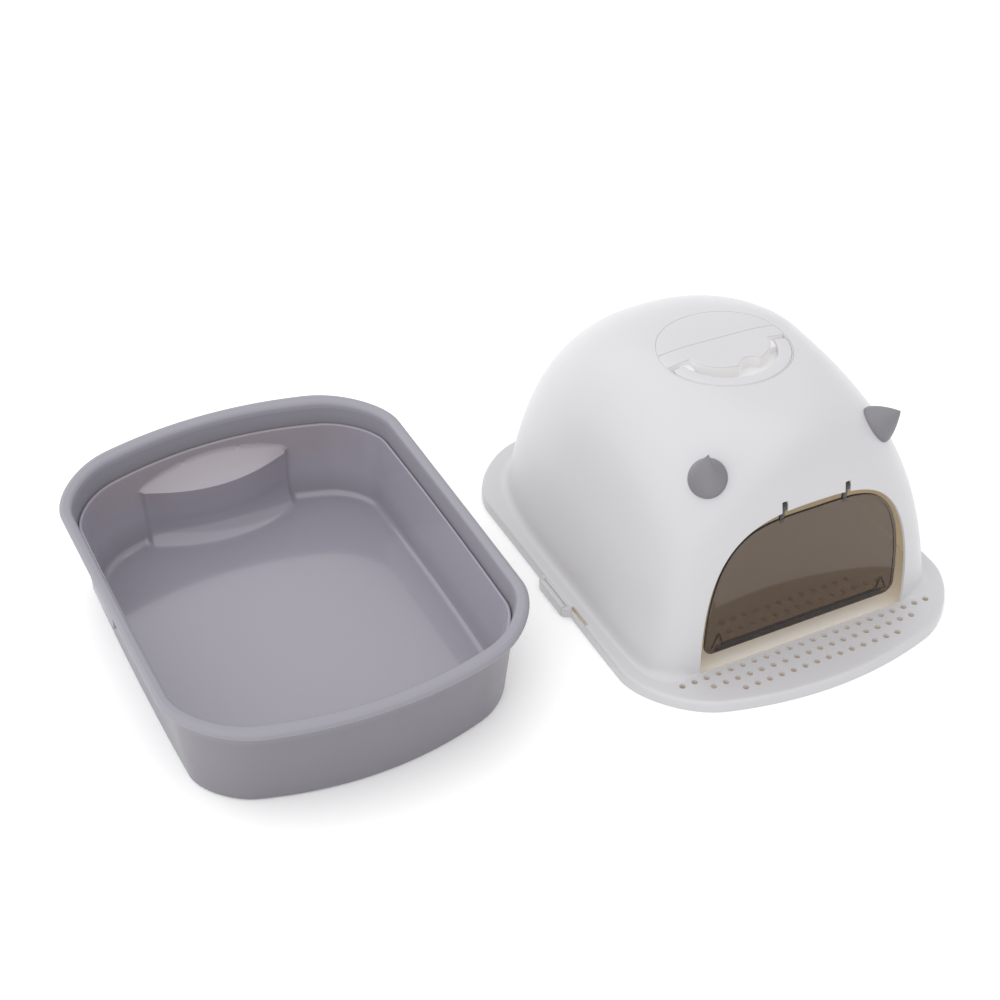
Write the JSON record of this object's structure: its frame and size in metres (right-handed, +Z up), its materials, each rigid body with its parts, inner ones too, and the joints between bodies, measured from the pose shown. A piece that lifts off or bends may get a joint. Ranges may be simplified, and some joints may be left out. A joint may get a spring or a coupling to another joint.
{
  "type": "cat litter box with hood",
  "caption": "Cat litter box: tray with a nested pan, and beside it the domed hood with carry handle, smoked swing flap, perforated step, ears and side latches.",
  "frame": {"origin": "on the floor, under the middle of the tray", "axes": "+Z up, -Y the front where the doorway is, +X from the tray towards the hood that stands beside it"},
  "size_m": [0.8287, 0.5575, 0.252],
  "materials": {
    "tray_plastic": "satin lilac-grey polypropylene",
    "pan_plastic": "smooth lilac-grey polypropylene",
    "hood_plastic": "satin white polypropylene",
    "pin_plastic": "plain white acetal",
    "smoked_plastic": "clear smoked brown",
    "ear_plastic": "soft matt grey"
  },
  "bodies": {
    "tray": {"tray": "tray_plastic"},
    "pan": {"inner_pan": "pan_plastic"},
    "hood": {"hood_shell": "hood_plastic", "handle_seat": "hood_plastic", "handle_pin_left": "pin_plastic", "handle_pin_right": "pin_plastic", "flap_pin_left": "pin_plastic", "flap_pin_right": "pin_plastic", "ear_left": "ear_plastic", "ear_right": "ear_plastic", "ear_ring_left": "pin_plastic", "ear_ring_right": "pin_plastic", "latch_pin_left": "pin_plastic", "latch_pin_right": "pin_plastic"},
    "handle": {"carry_handle": "hood_plastic"},
    "flap": {"flap": "smoked_plastic"},
    "latch_left": {"latch_left": "hood_plastic"},
    "latch_right": {"latch_right": "hood_plastic"}
  },
  "joints": [
    {"name": "pan_lift", "type": "slide", "parent": "tray", "child": "pan", "axis": [0, 0, 1], "range_m": [0, 0.15]},
    {"name": "hood_lift", "type": "slide", "parent": "tray", "child": "hood", "axis": [0, 0, 1], "range_m": [0, 0.25]},
    {"name": "handle_fold", "type": "hinge", "parent": "hood", "child": "handle", "pos_m": [0.448, -0.0756, 0.2434], "axis": [-1, 0, 0], "range_deg": [0, 90]},
    {"name": "flap_swing", "type": "hinge", "parent": "hood", "child": "flap", "pos_m": [0.448, -0.235, 0.187], "axis": [1, 0, 0], "range_deg": [-75, 75]},
    {"name": "latch_left_swing", "type": "hinge", "parent": "hood", "child": "latch_left", "pos_m": [0.2554, -0.074, 0.0086], "axis": [0, 1, 0], "range_deg": [0, 75]},
    {"name": "latch_right_swing", "type": "hinge", "parent": "hood", "child": "latch_right", "pos_m": [0.6406, -0.074, 0.0086], "axis": [0, -1, 0], "range_deg": [0, 75]}
  ]
}
